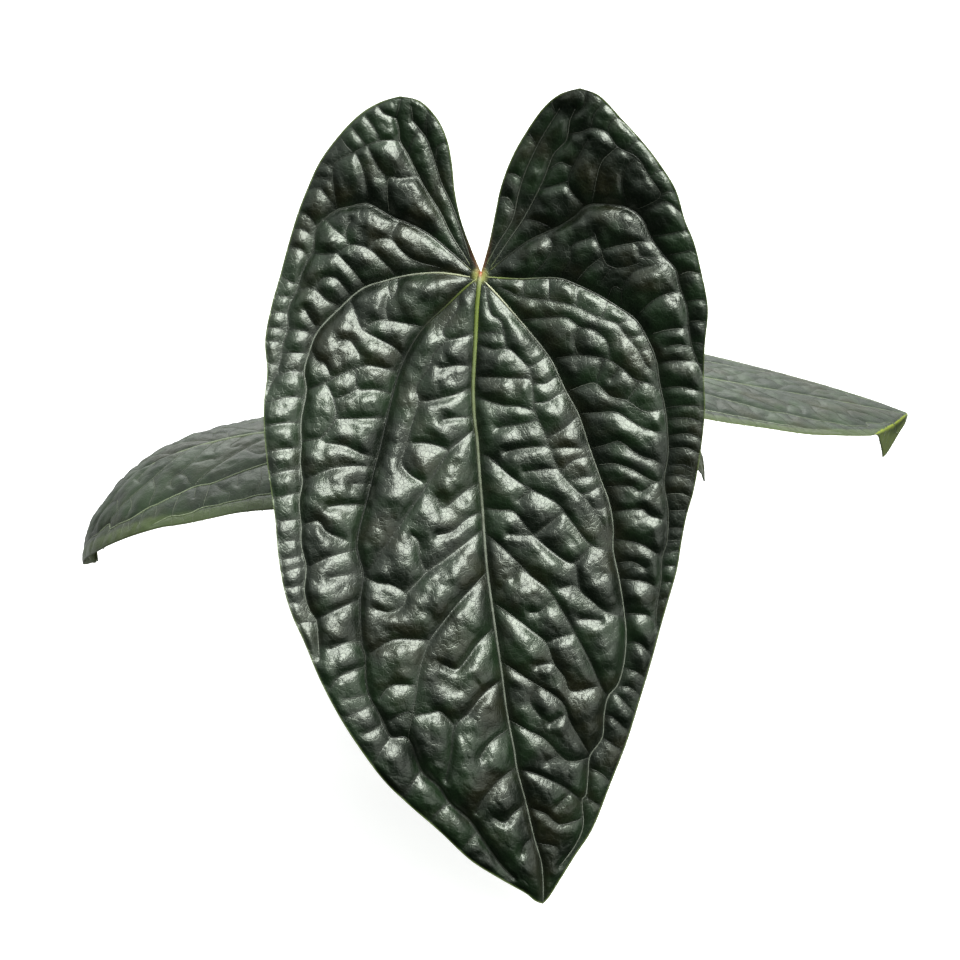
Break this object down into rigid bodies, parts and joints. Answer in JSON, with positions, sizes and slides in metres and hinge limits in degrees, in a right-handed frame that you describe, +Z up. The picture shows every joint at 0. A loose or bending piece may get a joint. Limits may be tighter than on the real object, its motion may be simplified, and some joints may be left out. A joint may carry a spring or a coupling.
{
  "type": "potted anthurium luxurians",
  "caption": "Foliage plant with heart-shaped, deeply puckered dark leaves on arching stalks, growing from a short stem in a plain tapered nursery pot.",
  "frame": {"origin": "centre of the underside of the pot's foot, on the surface that the pot stands on", "axes": "+Z up along the pot's axis; the largest leaf faces -Y, towards the viewer of the picture; +X to that viewer's right"},
  "size_m": [0.3191, 0.2124, 0.2696],
  "materials": {
    "pot": "satin moulded plastic, near black",
    "soil": "coarse bark mix with pale grit",
    "stem": "rough, ringed with old leaf scars",
    "leaf": "near-black green with a satin gloss, paler beneath",
    "petiole": "smooth green, flushed brown at the joint",
    "sheath": "papery, drying"
  },
  "bodies": {
    "root": {"pot": "pot", "soil": "soil", "stem": "stem", "main_leaf_blade": "leaf", "main_leaf_petiole": "petiole", "left_leaf_blade": "leaf", "left_leaf_petiole": "petiole", "right_leaf_blade": "leaf", "right_leaf_petiole": "petiole", "back_leaf_blade": "leaf", "back_leaf_petiole": "petiole", "new_leaf_sheath": "sheath"}
  },
  "joints": []
}
